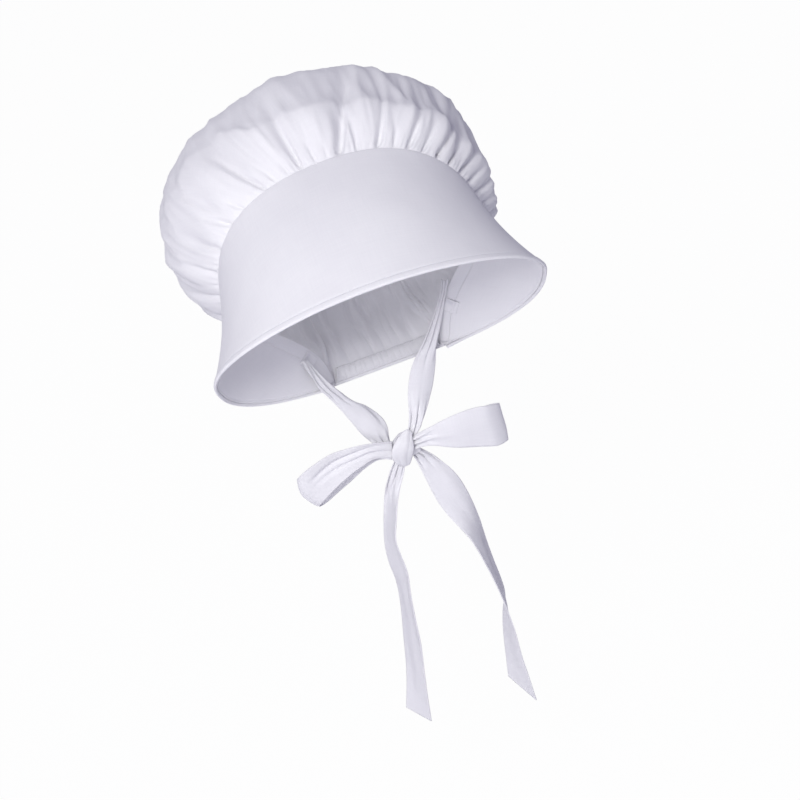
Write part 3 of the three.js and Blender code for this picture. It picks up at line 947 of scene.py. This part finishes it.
casing_stitches("casing_stitches_lower", 2.5, "nape_casing_stitch_lower")
casing_stitches("casing_stitches_upper", 11.5, "nape_casing_stitch_upper")


# %% Elastic
def elastic_section(length):
    return [(w, -1.55) for w in steps(4, 10, 13)]


def elastic_ribs(u, w, length):
    rib = math.sin((w - 4) / 6 * 5 * 2 * math.pi) * 0.08
    pick = math.sin((u - 1) * NAPE_HALF_WIDTH / 1.4 * 2 * math.pi) * 0.05
    return crown_lift(u, 7)[0] * 0.8 + rib + pick


stations = steps(2 - CASING_REACH - 0.01, 2 + CASING_REACH + 0.01, 241)
band = strip("nape_elastic_band", "crown", stations, elastic_section, elastic, None, elastic_ribs)
thicken(band, 0.8)
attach(band, "bonnet")
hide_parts("nape_elastic")


# %% Bar tacks
def bar_tack(name, cloth, u, first, last, n, lift, node):
    """A few stitches side by side that hold an end; lift gives the cloth's height."""
    row = []
    for w in steps(first, last, 7):
        ends = []
        for k in (-1, 1):
            at = u + k * (0.006 if cloth == "brim" else 0.03)
            point, _, face = on_cloth(cloth, at, w)
            ends.append(point + face * (n + lift(at, w)))
        row.append((*ends, -face))
    stitch_row(name, row, thread, "bonnet", [node], 0.22)


for side, sign in (("left", 1), ("right", -1)):
    u = 2 + sign * (CASING_REACH - 0.04)
    bar_tack("elastic_bar_tack_" + side, "crown", u, 3.6, 10.4, -2.9,
             lambda u, w: crown_lift(u, w)[0], "elastic_tack_" + side)

# %% [markdown]
# ## Ties
#
# Each tie is a strip of doubled cotton 27 mm wide. Drawn by hand, a ribbon is three lines:
# its two edges and its middle. Where the edges come close the cloth is drawn together, where
# one passes in front of the other the ribbon turns, and a middle that stands off the straight
# line between them makes a fold. So each piece below has a table with one row for each place
# along it, and a flat grid is laid through smooth curves between the rows.

# %% Curves for the ties
TIE_WIDTH = 27
TIE_CLOTH = 0.8
TUCKED_DEPTH = 1.5
TIE_Y = 3
KNOT = Vector((-9, TIE_Y, -164))


def curve_through(points, samples=12):
    """Points on a smooth curve through the given ones, without overshoot."""
    ends = [points[0] * 2 - points[1], *points, points[-1] * 2 - points[-2]]
    out = []
    for p0, p1, p2, p3 in zip(ends, ends[1:], ends[2:], ends[3:]):
        d0, d1, d2 = ((b - a).length ** 0.5 for a, b in ((p0, p1), (p1, p2), (p2, p3)))
        m1 = ((p1 - p0) / d0 - (p2 - p0) / (d0 + d1) + (p2 - p1) / d1) * d1
        m2 = ((p2 - p1) / d1 - (p3 - p1) / (d1 + d2) + (p3 - p2) / d2) * d1
        for t in steps(0, 1, samples + 1)[:-1]:
            a, b = 2 * t ** 3 - 3 * t ** 2 + 1, t ** 3 - 2 * t ** 2 + t
            out.append(p1 * a + m1 * b + p2 * (1 - a) + m2 * (t ** 3 - t ** 2))
    return [*out, points[-1]]


PLEATS = 2.5  # across a strip that is drawn in
PLEATED = 0.8  # share of the spare cloth that the pleats take up
OPENS = (9, 21)  # widths between which the pleats fade out


def drawn_in(side, width):
    """Height of the pleats of a strip, only where it is much narrower than its cloth."""
    ratio = max(1.0, TIE_WIDTH / width)
    wave = 2 * math.pi * PLEATS / 2
    depth = PLEATED * math.sqrt(2 * (ratio * ratio - 1)) * width / (2 * math.pi * PLEATS)
    pleat = depth * math.sin(wave * side + 0.7 * math.sin(wave * side) + 0.4)
    return pleat * (1 - smooth((width - OPENS[0]) / (OPENS[1] - OPENS[0])))


def tuck(side):
    """The outer parts of the cloth are folded back beneath its middle: place and depth."""
    beyond = max(0.0, abs(side) - 0.5)
    place = min(1.0, 2 * abs(side)) - 1.8 * beyond
    return math.copysign(place, side), TUCKED_DEPTH * smooth(beyond / 0.07)


# %% A tie along its table
def shaped_tie(name, table, detail, rows=201, columns=33, tucked=False):
    """table lists an edge, the middle and the other edge; detail adds a height off the cloth."""
    lines = [curve_through([Vector(row[k]) for row in table]) for k in range(3)]
    at = measured(lines[1])[1]
    total = at[-1]
    sections = {}

    def section(t):
        if t not in sections:
            i = min(max(bisect.bisect_left(at, t * total), 1), len(at) - 1)
            share = (t * total - at[i - 1]) / (at[i] - at[i - 1])
            sections[t] = [line[i - 1].lerp(line[i], share) for line in lines]
        return sections[t]

    def on_tie(side, t):
        a, m, b = section(t)
        low, high = side * (side - 1) / 2, side * (side + 1) / 2
        return a * low + m * (1 - side * side) + b * high

    bm, flat, cells = cloth_grid(columns, rows)
    for vert, i, j in cells:
        side, t = mix(-1, 1, i / (columns - 1)), j / (rows - 1)
        a, m, b = section(t)
        width = (m - a).length + (b - m).length
        place, depth = tuck(side) if tucked else (side, drawn_in(side, width))
        run = on_tie(place, min(1.0, t + 0.004)) - on_tie(place, max(0.0, t - 0.004))
        wide = on_tie(min(1.0, place + 0.06), t) - on_tie(max(-1.0, place - 0.06), t)
        lift = detail(place, t) + depth
        vert.co = (on_tie(place, t) + wide.cross(run).normalized() * lift) * MM
        vert[flat] = Vector((side * TIE_WIDTH / 2, t * total, 0)) * MM
    piece = to_object(name, bm, tie_cotton)
    thicken(piece, TIE_CLOTH)
    print("  length", round(total), "mm")
    return piece


def soft_wave(seed, height, across=1.2, runs=6):
    """Slow unevenness that fades at both ends of a tie."""
    def wave(side, t):
        ends = smooth(t / 0.15) * smooth((1 - t) / 0.1)
        return height * ends * noise.noise(Vector((side * across, t * runs, seed)))
    return wave


# %% [markdown]
# ### Straps
# A strap hangs from its sewn end inside the brim to the knot. It starts as a narrow fold,
# opens out on its way down, and is drawn together again at the knot. The left one rolls its
# upper edge over, as doubled cloth does when it is pulled at a slant. Both bend at the top,
# where the bow can swing, so they are blended from the bonnet to the ties there.

# %% Straps
LEFT_STRAP = [
    ((-60.2, 2, -59.8), (-59, 2.5, -60.6), (-57.8, 3, -61.4)),
    ((-58.5, -4, -70.8), (-54.9, -2.5, -72.8), (-51.3, -1, -74.8)),
    ((-55.8, -5, -81.6), (-50.7, -4.5, -83.6), (-45.7, -1, -87.4)),
    ((-48.7, -2, -101.4), (-42, -1.5, -102.2), (-35.3, 4, -106.1)),
    ((-42.4, 2, -122.7), (-33.2, 1.5, -118.7), (-23.9, 9, -119.8)),
    ((-36.6, 3, -141.2), (-27.1, 2, -137.5), (-17.5, 7, -137.5)),
    ((-28.6, 1, -154), (-24, 1.5, -155.3), (-19.4, 2, -156.7)),
]
RIGHT_STRAP = [
    ((56.8, 7, -38), (59.6, 7, -39), (62.4, 7, -40)),
    ((53.3, 6, -47.1), (55.4, 6, -47.9), (57.5, 6, -48.8)),
    ((44.3, 5, -60.9), (47.5, 5, -62.2), (50.7, 5, -63.5)),
    ((31.6, 4, -78.8), (36, 3, -81), (40.4, 4, -84.3)),
    ((15.5, 3, -97.3), (23.7, 1.5, -99.9), (32.1, 4, -104.9)),
    ((6.2, 3, -117.7), (14.5, 2, -120.7), (22.9, 5, -126.1)),
    ((0.8, 3, -140.1), (6, 2, -141.8), (11.4, 4, -145.3)),
    ((-6.1, 1, -155.1), (-3.2, 1, -156.4), (-0.3, 1, -157.6)),
]


def rolled_edge(side, t):
    """The upper edge rolls over halfway down the left strap."""
    place = math.exp(-((t - 0.62) / 0.15) ** 2)
    return soft_wave(2.9, 0.7)(side, t) + 4.5 * place * smooth((side - 0.45) / 0.3)


STRAPS = (("left", LEFT_STRAP, rolled_edge, -0.052),
          ("right", RIGHT_STRAP, soft_wave(3.05, 0.7), 0.052))
for side, table, unevenness, top_x in STRAPS:
    strap = shaped_tie("tie_strap_cloth_" + side, table, unevenness, rows=131)
    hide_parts("tie_strap_" + side)
    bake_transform(strap)
    cut = measured(curve_through([Vector(row[1]) for row in table]))[1][-1]

# %% [markdown]
# Each strap is sewn to the lining by a small flat end, tucked beside the seam binding and
# held by a bar tack.

# %% Sewn ends of the ties
def tie_end_section(length):
    rows = []
    for t in steps(0, 1, 29):
        w = mix(2.0, 12.5, t)
        rows.append((w, mix(-2.6, -1.7, smooth((w - 8.6) / 2.0))))
    return rows


for side, first, last in (("left", -0.845, -0.885), ("right", 0.835, 0.873)):
    end = strip("tie_end_" + side, "brim", steps(first, last, 25), tie_end_section, tie_cotton,
                None, binding_lift)
    thicken(end, TIE_CLOTH)
    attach(end, "bonnet")
    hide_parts("tie_anchor_" + side)
    bar_tack("tie_bar_tack_" + side, "brim", mix(first, last, 0.25), 3.0, 8.0, -3.2,
             lambda u, w: brim_lift(u, w, 0), "tie_tack_" + side)

# %% [markdown]
# ### Bow loops
#
# A loop leaves the knot, turns round at its far end and comes back behind itself. The left
# loop is the fuller one and droops, with two soft folds running out of the knot and its end
# rounded. The right one stands out almost straight and its end turns the cloth edge away.

# %% Loops
LEFT_LOOP = [
    ((-17.8, -3, -150.4), (-20.2, -3, -158.5), (-22.7, -3, -166.7)),
    ((-32.7, -7, -143.2), (-33.7, -6.5, -150.8), (-34.7, -6, -158.5)),
    ((-49.8, -10, -138.7), (-48.3, -8.5, -149.4), (-46.9, -9, -158.9)),
    ((-67.5, -12, -137.3), (-64.4, -9.5, -150.9), (-59.8, -11, -162.6)),
    ((-83.5, -12, -141.8), (-81.1, -10.5, -156.9), (-73.3, -11, -169.3)),
    ((-91.8, -9.5, -146.6), (-91.8, -9.5, -163.1), (-83.5, -9.5, -176.6)),
    ((-95.5, -5, -151.8), (-96.1, -4.5, -169), (-87.2, -4, -182.6)),
    ((-93.3, -1, -153.4), (-92.7, 0, -171.2), (-83.7, 1, -186.1)),
    ((-82.3, 1, -150.8), (-79.1, 2, -166.8), (-70.3, 3, -181.5)),
    ((-66.8, 2, -148.6), (-62.5, 3, -161.8), (-56.8, 4, -175.8)),
    ((-50.3, 2, -148), (-47.3, 2.5, -158.4), (-44.2, 3, -168.9)),
    ((-33.2, 2, -150.7), (-33.3, 2, -157.9), (-33.5, 2, -165.2)),
    ((-18.2, 1, -154.7), (-20.2, 1, -161.1), (-22.1, 1, -167.5)),
]
RIGHT_LOOP = [
    ((-1.6, -3, -153.6), (-3.1, -3, -158.7), (-4.7, -3, -163.9)),
    ((7.7, -6, -150), (7.4, -6, -156.6), (7.1, -6, -163.2)),
    ((25.7, -9, -144.4), (24.7, -10.5, -156.5), (23.9, -9, -170.6)),
    ((46.1, -10.5, -142.8), (44.4, -12.2, -158.9), (42.9, -10, -177.8)),
    ((58.2, -10.5, -145.1), (58.6, -10.5, -163.9), (57.8, -9, -183.8)),
    ((69.3, -1, -153), (69, -0.5, -170.5), (67.2, 0, -187.5)),
    ((65.2, 5, -155.5), (64.8, 6, -173.2), (62.8, 5.5, -189.1)),
    ((47.9, 2, -153.2), (46.2, 2.5, -168.6), (44.4, 3, -184.3)),
    ((27.2, 2, -153.8), (26.1, 2.5, -165.3), (25, 3, -176.8)),
    ((9, 2, -157.5), (8.3, 2, -162.5), (7.7, 2, -167.6)),
    ((-2, 1, -157.9), (-3, 1, -161.3), (-4, 1, -164.7)),
]


def left_folds(side, t):
    """Two folds on the front of the loop; t 0 is the front root and 0.5 the far end."""
    fade = smooth(t / 0.1) * smooth((0.46 - t) / 0.12)
    first = 2.2 * math.exp(-((side + 0.45 - 0.5 * t) / 0.17) ** 2)
    second = 1.6 * math.exp(-((side - 0.35 + 0.7 * t) / 0.14) ** 2)
    return (first + second) * fade + 0.8 * noise.noise(Vector((side * 1.3, t * 8, 4)))


def right_folds(side, t):
    fade = smooth(t / 0.05) * smooth((0.3 - t) / 0.2)
    crease = 0.7 * math.exp(-((side - 0.15) / 0.2) ** 2)
    return crease * fade + 0.6 * noise.noise(Vector((side * 1.1, t * 7, 8)))


# side, table, folds, direction along X, degrees upwards, length of the middle line
LOOPS = (("left", LEFT_LOOP, left_folds, -1, 3, 168),
         ("right", RIGHT_LOOP, right_folds, 1, -5, 159))
for side, table, folds_on, sign, lift, length in LOOPS:
    loop = shaped_tie("bow_loop_cloth_" + side, table, folds_on, rows=241)
    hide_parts("bow_loop_" + side)
    angle = math.radians(lift)
    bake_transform(loop)

# %% [markdown]
# ### Tails
#
# The free ends hang below the knot. The left one turns edge-on just under the knot and
# stays turned, the right one hangs flat and then twists twice. Their ends are cut at a
# slant, so they don't fray straight across.

# %% Tails
LEFT_TAIL = [
    ((-20.2, 1.5, -169.7), (-16.7, 0.4, -171), (-13.2, -0.7, -172.3)),
    ((-25, 2.1, -176), (-19.8, 0.5, -176), (-14.6, -1.1, -176)),
    ((-30.1, 2.9, -184), (-24.4, 1.5, -184), (-18.8, -1.9, -184)),
    ((-34, 5.7, -193), (-29.3, 3, -193), (-24.5, -3.6, -193)),
    ((-37.6, 9.3, -204), (-32.8, 4.8, -204), (-30.1, -5.8, -204)),
    ((-41.3, 13.4, -218), (-37, 5.1, -218), (-35.7, -8.2, -218)),
    ((-45.9, 15.4, -234), (-42.4, 4.5, -234), (-40.9, -9.4, -234)),
    ((-49.9, 15.5, -252), (-45.5, 4, -252), (-41.2, -9.5, -252)),
    ((-51.1, 15.5, -268), (-46.2, 3, -268), (-41.3, -9.5, -268)),
    ((-51.2, 15.5, -288), (-47.7, 3, -288), (-44.3, -9.5, -288)),
    ((-55.1, 15.5, -312), (-51.3, 3, -312), (-47.5, -9.5, -312)),
    ((-60.5, 15.2, -340), (-55.6, 3, -340), (-50.7, -9.2, -340)),
    ((-67.2, 14.3, -370), (-61.7, 3, -370), (-56.3, -8.3, -370)),
    ((-79.9, 11.7, -410.6), (-72.2, 2.8, -414.9), (-64.4, -6, -419.2)),
]
RIGHT_TAIL = [
    ((-6, 1.9, -172.3), (-3, 2, -170.3), (0.1, 2.1, -168.2)),
    ((-5, 1.9, -178), (1.4, 2.2, -178), (7.8, 2.5, -178)),
    ((-3.8, 1.8, -187), (4.8, 1.8, -187), (13.4, 2.8, -187)),
    ((-2.6, 1.7, -198), (8.1, 1.4, -198), (18.9, 3.2, -198)),
    ((-1.3, 1.6, -210), (10.7, 0.6, -210), (22.7, 3.6, -210)),
    ((0.7, 1, -223), (12.8, 0.3, -223), (24.9, 4.6, -223)),
    ((4.6, -1.3, -236), (16.3, 0.9, -236), (26, 7.2, -236)),
    ((9.7, -4.1, -248), (19.3, 2, -248), (26.8, 10.1, -248)),
    ((14.9, -7, -260), (21.2, 3, -260), (27.6, 13, -260)),
    ((18.1, -9.2, -273), (22.8, 3, -273), (27.5, 15.2, -273)),
    ((20.2, -10.2, -288), (23.7, 3, -288), (27.2, 16.2, -288)),
    ((21.8, -10.4, -305), (24.7, 3, -305), (27.5, 16.4, -305)),
    ((23.2, -10.4, -322), (25.6, 3, -322), (28.1, 16.4, -322)),
    ((23.9, -10.5, -338), (25.8, 3, -338), (27.8, 16.5, -338)),
    ((23.9, -10.2, -354), (23.3, 3, -354), (22.7, 16.2, -354)),
    ((23.2, -9.7, -372), (20.6, 3, -372), (18, 15.7, -372)),
    ((22.9, -9, -390), (18.4, 3, -390), (13.8, 15, -390)),
    ((23.1, -7.5, -436.1), (15.8, 3.1, -427.6), (8.5, 13.7, -419.2)),
]
for side, table, seed, length in (("left", LEFT_TAIL, 5, 252), ("right", RIGHT_TAIL, 9, 262)):
    tail = shaped_tie("tie_tail_cloth_" + side, table, soft_wave(seed, 1.1), rows=261)
    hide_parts("tie_tail_" + side)
    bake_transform(tail)

# %% [markdown]
# ### The knot
#
# The knot is the same cloth, wrapped once round the crossing and pulled tight. Its two edges
# are folded back beneath it, which leaves a smooth rounded front with a blunt corner at the
# top. Under it the tie crosses from loop to loop.

# %% Knot
WRAP = [
    ((-9.2, 3, -153.1), (-6.2, 3, -152.9), (-3.3, 3, -152.8)),
    ((-7.2, -2, -147), (-3.9, -2, -146.2), (-1.7, -2, -148.9)),
    ((-14.7, -7, -149.2), (-8, -8.8, -151), (-2.8, -6.5, -154.7)),
    ((-19.9, -9, -154.3), (-12.2, -11, -155.9), (-4.5, -8, -160.8)),
    ((-21.8, -7, -163.5), (-14.7, -8.8, -164.5), (-7.5, -6.5, -168.1)),
    ((-18.2, -2, -174.2), (-15.1, -2, -176.3), (-11.5, -2, -176.6)),
    ((-16.5, 4, -175.8), (-13.8, 4, -176.5), (-11.2, 4, -177.2)),
    ((-17.5, 9, -171), (-13.0, 10.5, -170.5), (-8.0, 9, -171)),
    ((-17.5, 11, -162), (-10.5, 13, -162), (-3.5, 11, -162.5)),
    ((-12.5, 8.5, -155), (-8.0, 10, -154.5), (-3.5, 8.5, -154.5)),
    ((-9.2, 3, -153.1), (-6.2, 3.0, -152.9), (-3.3, 3, -152.8)),
]
CROSSING_TALL, CROSSING_DEEP, CROSSING_WIDE = 8.6, 4.4, 20


def wrap_creases(side, t):
    low = 0.5 * math.exp(-((side + 0.35) / 0.2) ** 2) + 0.4 * math.exp(-((side - 0.5) / 0.15) ** 2)
    front = math.sin(math.pi * min(1.0, t / 0.6))
    return low * front + 0.4 * noise.noise(Vector((side * 2, t * 9, 1)))


wrap = shaped_tie("knot_wrap", WRAP, wrap_creases, rows=121, columns=61, tucked=True)
crossing_table = []
for angle in steps(-math.pi, math.pi, 13):
    y, z = -CROSSING_DEEP * math.cos(angle), CROSSING_TALL * math.sin(angle)
    rim, belly = KNOT + Vector((0, y * 0.8, z * 0.85)), KNOT + Vector((0, y, z))
    half = Vector((CROSSING_WIDE / 2, 0, 0))
    crossing_table.append((rim - half, belly, rim + half))
crossing = shaped_tie("knot_crossing", crossing_table, soft_wave(2, 0.6, 3), rows=97)
for piece in (crossing, wrap):
    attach(piece, "chin_ties")
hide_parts("bow_knot")
